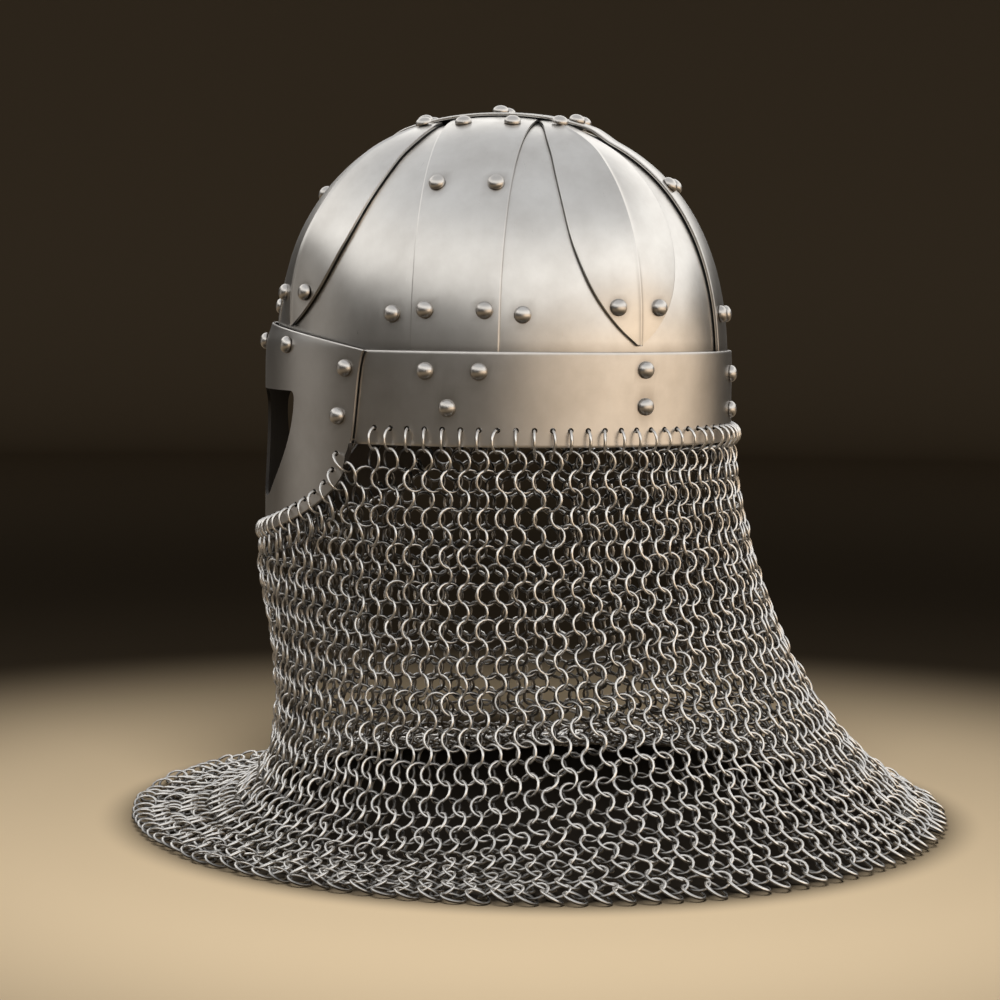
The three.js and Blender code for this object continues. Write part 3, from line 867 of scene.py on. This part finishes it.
def fall_column(column, way):
    run = mail_first + way * (fall_runs[column, -1] - mail_first - mail_last)
    return np.array([np.interp(run, fall_runs[column], fall_grid[column, :, axis]) for axis in range(3)])


def mail_point(bearing, way):
    """A point of the curtain: way runs from the first row at 0 to the last at 1."""
    spot = (bearing % 360.0) * fall_count / 360.0
    column = int(spot) % fall_count
    share = spot - int(spot)
    return fall_column(column, way) * (1 - share) + fall_column((column + 1) % fall_count, way) * share


def mail_frame(bearing, way):
    """A point of the curtain with the ways down, round and out there."""
    way_step = 0.012
    turn_step = 0.6
    here = mail_point(bearing, way)
    down = mail_point(bearing, way + way_step) - mail_point(bearing, way - way_step)
    down /= np.linalg.norm(down)
    round_way = mail_point(bearing + turn_step, way) - mail_point(bearing - turn_step, way)
    round_way -= down * (round_way @ down)
    round_way /= np.linalg.norm(round_way)
    out = np.cross(round_way, -down)
    return here, down, round_way, out


visor_clear_angle = 3.0
visor_clear_drop = 0.0075


def visor_edge(bearing):
    """Height that a ring's middle has to stay under at this bearing."""
    from_front = abs((bearing + 270) % 360 - 180)
    clear = visor_half_angle + visor_clear_angle
    if from_front >= clear:
        return math.inf
    drop = visor_drop + visor_clear_drop
    return visor_corner - drop * math.sqrt(1 - (from_front / clear) ** 2)


hole_slack = 0.0003
hole_lift = ring_radius - hole_slack
visor_ring_spread = 9.0
link_step = 0.008
link_sag = 1.3
link_lean = 24.0
link_lean_spread = 5.0
link_out = 0.001
link_out_spread = 0.0005
link_shift = 0.002
link_room = 0.0062
visor_hanging = []
visor_links = []
for bearing, turn, spot in visor_holes:
    out = np.array(dome_normal(Vector((spot.x, spot.y, 0))))
    round_way = np.cross([0.0, 0.0, 1.0], out)
    away = np.array([math.cos(turn) / arc_half, math.sin(turn) / arc_drop])
    away /= np.linalg.norm(away)
    along = round_way * away[0] + np.array([0.0, 0.0, away[1] - link_sag])
    along /= np.linalg.norm(along)
    spread = math.radians(chance.gauss(0, visor_ring_spread))
    across = out * math.cos(spread) + np.cross(along, out) * math.sin(spread)
    middle = np.array(spot) - out * gauge / 2 + along * hole_lift
    visor_hanging.append((bearing, middle, across, along, out))
    side_way = np.cross(out, along)
    lean = math.radians(link_lean + chance.gauss(0, link_lean_spread))
    link_stand = out * chance.gauss(link_out, link_out_spread)
    link_middle = middle + along * link_step + link_stand + side_way * link_shift
    link_across = side_way * math.cos(lean) + out * math.sin(lean)
    visor_links.append((bearing, link_middle, link_across, along, out))
link_tree = kdtree.KDTree(len(visor_links))
for index, link in enumerate(visor_links):
    link_tree.insert(link[1], index)
link_tree.balance()

first_row_weight = 1.08
last_row_weight = 0.92
growth_start = 0.3
gap_spread = 0.1
easing_rounds = 12
first_lean = 25.0
last_lean = 22.0
lean_spread = 6.0
tip_spread = 6.0
out_spread = 0.0003
round_spread = 0.0002


def bearing_before(bearings, index):
    """Bearing of the ring before this one, below 0 where the row starts over."""
    return bearings[index - 1] - (360 if index == 0 else 0)


def bearing_after(bearings, index):
    """Bearing of the ring after this one, past 360 where the row starts over."""
    last = len(bearings) - 1
    return bearings[0] + 360 if index == last else bearings[index + 1]


row_weights = np.linspace(first_row_weight, last_row_weight, mail_rows - 1)
row_ways = np.concatenate([[0.0], np.cumsum(row_weights)]) / row_weights.sum()
row_bearings = [90 + (i + 0.5) * 360 / holes_round for i in range(holes_round)]
rings = []
for row in range(mail_rows):
    way = row_ways[row]
    wanted = round(mix(holes_round, hem_rings, ease((way - growth_start) / (1 - growth_start))))
    while len(row_bearings) < wanted:
        spots = [mail_point(bearing, way) for bearing in row_bearings]
        gaps = []
        for index, spot in enumerate(spots):
            gap = np.linalg.norm(spot - spots[index - 1])
            gaps.append(gap * chance.uniform(1 - gap_spread, 1 + gap_spread))
        widest = int(np.argmax(gaps))
        row_bearings.insert(widest, (bearing_before(row_bearings, widest) + row_bearings[widest]) / 2)
        for easing in range(easing_rounds):
            eased = []
            for index, bearing in enumerate(row_bearings):
                beside = bearing_before(row_bearings, index) + bearing_after(row_bearings, index)
                eased.append(bearing / 2 + beside / 4)
            row_bearings = eased
    lean = 1 if row % 2 == 0 else -1
    for bearing in row_bearings:
        here, down, round_way, out = mail_frame(bearing, way)
        turn = lean * math.radians(mix(first_lean, last_lean, way) + chance.gauss(0, lean_spread))
        tip = math.radians(chance.gauss(0, tip_spread))
        middle = here + out * chance.gauss(0, out_spread) + round_way * chance.gauss(0, round_spread)
        if middle[2] > visor_edge(bearing) or link_tree.find(middle)[2] < link_room:
            continue
        across = round_way * math.cos(turn) + out * math.sin(turn)
        along = down * math.cos(tip) + np.cross(across, down) * math.sin(tip)
        rings.append((bearing % 360, middle, across, along, out))
    row_bearings = [
        (bearing + bearing_after(row_bearings, index)) / 2 for index, bearing in enumerate(row_bearings)
    ]

bpy.ops.object.select_all(action="DESELECT")
bpy.ops.mesh.primitive_torus_add(
    major_segments=ring_segments,
    minor_segments=wire_sides,
    major_radius=ring_radius,
    minor_radius=wire_radius,
)
ring_model = bpy.context.object
ring_points = np.array([vertex.co[:] for vertex in ring_model.data.vertices])
ring_faces = np.array([polygon.vertices[:] for polygon in ring_model.data.polygons])
bpy.data.objects.remove(ring_model)


def weave(name, group):
    """Rings at these places as one mesh, painted bright on the outward side and dark on the inward side as
    painted highlight and shade, each ring a little different in tone.
    """
    points = []
    faces = []
    tones = []
    for index, (bearing, middle, across, along, out) in enumerate(group):
        axle = np.cross(across, along)
        turned = ring_points @ np.array([across, along, axle])
        spots = turned + middle
        spots[:, 2] += max(0.0, floor_height - spots[:, 2].min())
        points.append(spots)
        faces.append(ring_faces + index * len(ring_points))
        # Painted highlight and shade: brighter towards the ring's outward side, darker inward; the random
        # part is each ring's own tone
        painted_light_and_tone = painted_light_middle + outer_light_contrast * (turned @ out) / ring_radius
        painted_light_and_tone += chance.uniform(-wear_spread, wear_spread)
        tones.append(np.clip(painted_light_and_tone, 0.0, 1.0))
    mesh = bpy.data.meshes.new(name)
    mesh.from_pydata(np.concatenate(points).tolist(), [], np.concatenate(faces).tolist())
    layer = mesh.attributes.new("painted_light_and_tone", "FLOAT", "POINT")
    layer.data.foreach_set("value", np.concatenate(tones))
    piece = bpy.data.objects.new(name, mesh)
    bpy.context.collection.objects.link(piece)
    bpy.ops.object.select_all(action="DESELECT")
    piece.select_set(True)
    bpy.context.view_layer.objects.active = piece
    bpy.ops.object.shade_smooth()
    return piece


mail_wire = bpy.data.materials.new("mail_wire")
mail_wire.use_nodes = True
nodes = mail_wire.node_tree.nodes
links = mail_wire.node_tree.links
shader = nodes["Principled BSDF"]
shader.inputs["Metallic"].default_value = 1.0
place = nodes.new("ShaderNodeTexCoord")
speck = nodes.new("ShaderNodeTexNoise")
speck.inputs["Scale"].default_value = 420.0
speck.inputs["Detail"].default_value = 3.0
links.new(place.outputs["Object"], speck.inputs["Vector"])
# The attribute paints highlight and shade into the wire's colour
painted_light_and_tone = nodes.new("ShaderNodeAttribute")
painted_light_and_tone.attribute_name = "painted_light_and_tone"
blend = nodes.new("ShaderNodeMath")
blend.operation = "MULTIPLY_ADD"
blend.inputs[1].default_value = speck_strength
blend.use_clamp = True
links.new(speck.outputs["Fac"], blend.inputs[0])
links.new(painted_light_and_tone.outputs["Fac"], blend.inputs[2])
colours = nodes.new("ShaderNodeMix")
colours.data_type = "RGBA"
colours.inputs["A"].default_value = (*wire_shaded_colour, 1.0)
colours.inputs["B"].default_value = (*wire_lit_colour, 1.0)
links.new(blend.outputs["Value"], colours.inputs["Factor"])
links.new(colours.outputs["Result"], shader.inputs["Base Color"])
gloss = nodes.new("ShaderNodeMapRange")
gloss.inputs["To Min"].default_value = 0.24
gloss.inputs["To Max"].default_value = 0.42
links.new(speck.outputs["Fac"], gloss.inputs["Value"])
links.new(gloss.outputs["Result"], shader.inputs["Roughness"])

quarters = {"mail_left": [], "mail_back": [], "mail_right": [], "mail_front": []}
for ring in rings:
    quarter = int(((ring[0] + 45) % 360) // 90)
    quarters[list(quarters)[quarter]].append(ring)
for name, group in quarters.items():
    piece = weave(name, group)
    piece.data.materials.append(mail_wire)
    fit(piece)
    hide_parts("aventail")

# Hanging rings
# One ring through each hole of the brow band and the visor, edge on, carries the first row of the mail.
# A row of links follows the visor's lower edge and joins its rings to the level rows.
brow_ring_spread = 8.0
hanging = []
for bearing, spot in brow_holes:
    out = np.array(dome_normal(Vector((spot.x, spot.y, 0))))
    spread = math.radians(chance.gauss(0, brow_ring_spread))
    round_way = np.cross([0.0, 0.0, 1.0], out)
    across = out * math.cos(spread) + round_way * math.sin(spread)
    middle = np.array(spot) - out * gauge / 2 - np.array([0, 0, hole_lift])
    hanging.append((bearing, middle, across, np.array([0.0, 0.0, -1.0]), out))
piece = weave("mail_hanging_rings", hanging + visor_hanging + visor_links)
piece.data.materials.append(mail_wire)
fit(piece)
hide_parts("aventail")

# Floor, light and camera
# A round paper stage with a pale floor, painted dark under the mail as painted shade and fading dark all
# round as a painted pool of light, and a soft lamp above the helmet's left.
# The steel mirrors a plain room. The camera looks at the left side from a little behind.
sweep_radius = 3.0
sweep_bend = 0.5
sweep_top = 1.8
floor_colour = (0.80, 0.64, 0.43)
# Dark colour of the painted light falloff away from the helmet
falloff_shade_colour = (0.05, 0.038, 0.025)
# Lighter paint towards the wall, standing in for light the lamp does not give there
painted_wall_light_colour = (0.30, 0.23, 0.15)
shade_colour = (0.03, 0.025, 0.02)
shade_start = hem_radius * 0.93
shade_end = hem_radius * 1.1
falloff_start = 0.27
falloff_end = 0.62
wall_light_start = 0.9
room_unevenness = 0.24


def sweep_place(across, along):
    turn = 2 * math.pi * across
    bend = sweep_bend * math.pi / 2
    run = along * (sweep_radius + bend + sweep_top)
    reach = run
    height = floor_height
    if run > sweep_radius:
        curl = min(bend, run - sweep_radius) / sweep_bend
        reach = sweep_radius + sweep_bend * math.sin(curl)
        height = floor_height + sweep_bend * (1 - math.cos(curl)) + max(0.0, run - sweep_radius - bend)
    return Vector((reach * math.cos(turn), reach * math.sin(turn), height))


sweep = bend_sheet("studio_sweep", columns=96, rows=80, place=sweep_place, closed=True)
smooth(sweep)
paper = bpy.data.materials.new("studio_paper")
paper.use_nodes = True
paper_shader = paper.node_tree.nodes["Principled BSDF"]
nodes = paper.node_tree.nodes
links = paper.node_tree.links
place = nodes.new("ShaderNodeTexCoord")
from_middle = nodes.new("ShaderNodeVectorMath")
from_middle.operation = "DISTANCE"
from_middle.inputs[1].default_value = (0.0, hem_setback, floor_height)
links.new(place.outputs["Object"], from_middle.inputs[0])


def fade(start, end):
    """How far a spot's distance from the middle has gone from start to end."""
    share = nodes.new("ShaderNodeMapRange")
    share.interpolation_type = "SMOOTHSTEP"
    share.inputs["From Min"].default_value = start
    share.inputs["From Max"].default_value = end
    links.new(from_middle.outputs["Value"], share.inputs["Value"])
    return share.outputs["Result"]


def paint(under, colour, share):
    """Lays a colour over another one by a share."""
    layer = nodes.new("ShaderNodeMix")
    layer.data_type = "RGBA"
    layer.inputs["B"].default_value = (*colour, 1.0)
    links.new(under, layer.inputs["A"])
    links.new(share, layer.inputs["Factor"])
    return layer


# Painted shade: under the mail the paper is painted dark, as hardly any light reaches it there
ground = nodes.new("ShaderNodeMix")
ground.data_type = "RGBA"
ground.inputs["A"].default_value = (*shade_colour, 1.0)
ground.inputs["B"].default_value = (*floor_colour, 1.0)
links.new(fade(shade_start, shade_end), ground.inputs["Factor"])
# Painted pool of light: the pale paper fades to a dark colour away from the helmet, standing in for the
# lamp's light falling off
far = paint(ground.outputs["Result"], falloff_shade_colour, fade(falloff_start, falloff_end))
# Painted light: the paper is painted lighter again from 0.9 m out to the wall, making up for the lamp's
# light falling off there
wall = paint(far.outputs["Result"], painted_wall_light_colour, fade(wall_light_start, sweep_radius))
links.new(wall.outputs["Result"], paper_shader.inputs["Base Color"])
paper_shader.inputs["Roughness"].default_value = 0.85
paper_shader.inputs["Specular IOR Level"].default_value = 0.0
sweep.data.materials.append(paper)
sweep.visible_glossy = False

glow = bpy.data.lights.new("overhead", "AREA")
glow.shape = "DISK"
glow.size = 0.9
glow.energy = 19.0
glow.color = (1.0, 0.97, 0.93)
lamp = bpy.data.objects.new("overhead", glow)
lamp.location = (0.85, 0.2, 0.95)
lamp.rotation_euler = (-lamp.location).to_track_quat("-Z", "Y").to_euler()
lamp.visible_glossy = False
lamp.visible_camera = False
bpy.context.collection.objects.link(lamp)

room = bpy.data.worlds.new("room")
room.use_nodes = True
bpy.context.scene.world = room
# The room is only mirrored in the steel, and the lamp alone lights the paper
room.cycles_visibility.diffuse = False
nodes = room.node_tree.nodes
links = room.node_tree.links
background = nodes["Background"]
look = nodes.new("ShaderNodeTexCoord")
parts = nodes.new("ShaderNodeSeparateXYZ")
links.new(look.outputs["Generated"], parts.inputs["Vector"])
uneven = nodes.new("ShaderNodeTexNoise")
uneven.inputs["Scale"].default_value = 2.2
uneven.inputs["Detail"].default_value = 2.0
links.new(look.outputs["Generated"], uneven.inputs["Vector"])
# The bright ceiling starts about eleven degrees up behind the helmet and twenty-two before the face
edge = nodes.new("ShaderNodeMapRange")
edge.inputs["From Min"].default_value = -1.0
edge.inputs["From Max"].default_value = 1.0
edge.inputs["To Min"].default_value = 0.37
edge.inputs["To Max"].default_value = 0.17
links.new(parts.outputs["Y"], edge.inputs["Value"])
above = nodes.new("ShaderNodeMath")
above.operation = "SUBTRACT"
links.new(parts.outputs["Z"], above.inputs[0])
links.new(edge.outputs["Result"], above.inputs[1])
shaken = nodes.new("ShaderNodeMath")
shaken.operation = "MULTIPLY_ADD"
shaken.inputs[1].default_value = room_unevenness
links.new(uneven.outputs["Fac"], shaken.inputs[0])
links.new(above.outputs["Value"], shaken.inputs[2])
ceiling = nodes.new("ShaderNodeMapRange")
ceiling.interpolation_type = "SMOOTHSTEP"
ceiling.inputs["From Min"].default_value = 0.07
ceiling.inputs["From Max"].default_value = 0.2
links.new(shaken.outputs["Value"], ceiling.inputs["Value"])
# A warm panel stands behind the helmet, a little to its left
towards_panel = nodes.new("ShaderNodeVectorMath")
towards_panel.operation = "DOT_PRODUCT"
towards_panel.inputs[1].default_value = (0.31, 0.95, 0.0)
links.new(look.outputs["Generated"], towards_panel.inputs[0])
warm = nodes.new("ShaderNodeMapRange")
warm.interpolation_type = "SMOOTHSTEP"
warm.inputs["From Min"].default_value = 0.32
warm.inputs["From Max"].default_value = 1.05
links.new(towards_panel.outputs["Value"], warm.inputs["Value"])
horizon = nodes.new("ShaderNodeMix")
horizon.data_type = "RGBA"
horizon.inputs["A"].default_value = (0.06, 0.055, 0.049, 1.0)
panel = nodes.new("ShaderNodeMapRange")
panel.interpolation_type = "SMOOTHSTEP"
panel.inputs["From Min"].default_value = 0.04
panel.inputs["From Max"].default_value = 0.2
links.new(parts.outputs["Z"], panel.inputs["Value"])
panel_colour = nodes.new("ShaderNodeMix")
panel_colour.data_type = "RGBA"
panel_colour.inputs["A"].default_value = (2.1, 1.66, 1.22, 1.0)
panel_colour.inputs["B"].default_value = (1.0, 0.84, 0.68, 1.0)
links.new(panel.outputs["Result"], panel_colour.inputs["Factor"])
links.new(panel_colour.outputs["Result"], horizon.inputs["B"])
links.new(warm.outputs["Result"], horizon.inputs["Factor"])
# A paler wall stands straight in front of the face
ahead_wall = nodes.new("ShaderNodeMapRange")
ahead_wall.interpolation_type = "SMOOTHSTEP"
ahead_wall.inputs["From Min"].default_value = -0.92
ahead_wall.inputs["From Max"].default_value = -1.0
links.new(parts.outputs["Y"], ahead_wall.inputs["Value"])
walls = nodes.new("ShaderNodeMix")
walls.data_type = "RGBA"
walls.inputs["B"].default_value = (0.46, 0.43, 0.395, 1.0)
links.new(ahead_wall.outputs["Result"], walls.inputs["Factor"])
links.new(horizon.outputs["Result"], walls.inputs["A"])
zenith = nodes.new("ShaderNodeMapRange")
zenith.interpolation_type = "SMOOTHSTEP"
zenith.inputs["From Min"].default_value = 0.42
zenith.inputs["From Max"].default_value = 0.85
links.new(parts.outputs["Z"], zenith.inputs["Value"])
bright = nodes.new("ShaderNodeMix")
bright.data_type = "RGBA"
bright.inputs["A"].default_value = (1.75, 1.72, 1.67, 1.0)
bright.inputs["B"].default_value = (0.86, 0.87, 0.89, 1.0)
links.new(zenith.outputs["Result"], bright.inputs["Factor"])
whole = nodes.new("ShaderNodeMix")
whole.data_type = "RGBA"
links.new(ceiling.outputs["Result"], whole.inputs["Factor"])
links.new(walls.outputs["Result"], whole.inputs["A"])
links.new(bright.outputs["Result"], whole.inputs["B"])
# Below the horizon the room is a tan floor that falls dark straight down
below = nodes.new("ShaderNodeMapRange")
below.interpolation_type = "SMOOTHSTEP"
below.inputs["From Min"].default_value = -0.04
below.inputs["From Max"].default_value = -0.3
links.new(parts.outputs["Z"], below.inputs["Value"])
deep = nodes.new("ShaderNodeMapRange")
deep.interpolation_type = "SMOOTHSTEP"
deep.inputs["From Min"].default_value = -0.3
deep.inputs["From Max"].default_value = -0.9
links.new(parts.outputs["Z"], deep.inputs["Value"])
room_floor = nodes.new("ShaderNodeMix")
room_floor.data_type = "RGBA"
room_floor.inputs["A"].default_value = (0.32, 0.25, 0.17, 1.0)
room_floor.inputs["B"].default_value = (0.05, 0.04, 0.03, 1.0)
links.new(deep.outputs["Result"], room_floor.inputs["Factor"])
around = nodes.new("ShaderNodeMix")
around.data_type = "RGBA"
links.new(below.outputs["Result"], around.inputs["Factor"])
links.new(whole.outputs["Result"], around.inputs["A"])
links.new(room_floor.outputs["Result"], around.inputs["B"])
links.new(around.outputs["Result"], background.inputs["Color"])

camera_bearing = math.radians(103.0)
camera_distance = 1.25
camera_height = 0.068
camera_pitch = math.radians(4.63)
camera_roll = math.radians(0.5)
upright = Vector((0, 0, 1))
level_right = Vector((math.cos(camera_bearing), math.sin(camera_bearing), 0))
level_ahead = Vector((-math.sin(camera_bearing), math.cos(camera_bearing), 0))
ahead = level_ahead * math.cos(camera_pitch) - upright * math.sin(camera_pitch)
level_up = level_ahead * math.sin(camera_pitch) + upright * math.cos(camera_pitch)
right = level_right * math.cos(camera_roll) + level_up * math.sin(camera_roll)
up = level_up * math.cos(camera_roll) - level_right * math.sin(camera_roll)
lens = bpy.data.cameras.new("camera")
lens.sensor_width = 36.0
lens.lens = 87.12
camera = bpy.data.objects.new("camera", lens)
bpy.context.collection.objects.link(camera)
stand_at = -level_ahead * camera_distance + upright * camera_height
camera.matrix_world = Matrix((right, up, -ahead)).transposed().to_4x4()
camera.location = stand_at
bpy.context.scene.camera = camera
bpy.context.scene.view_settings.view_transform = "Standard"
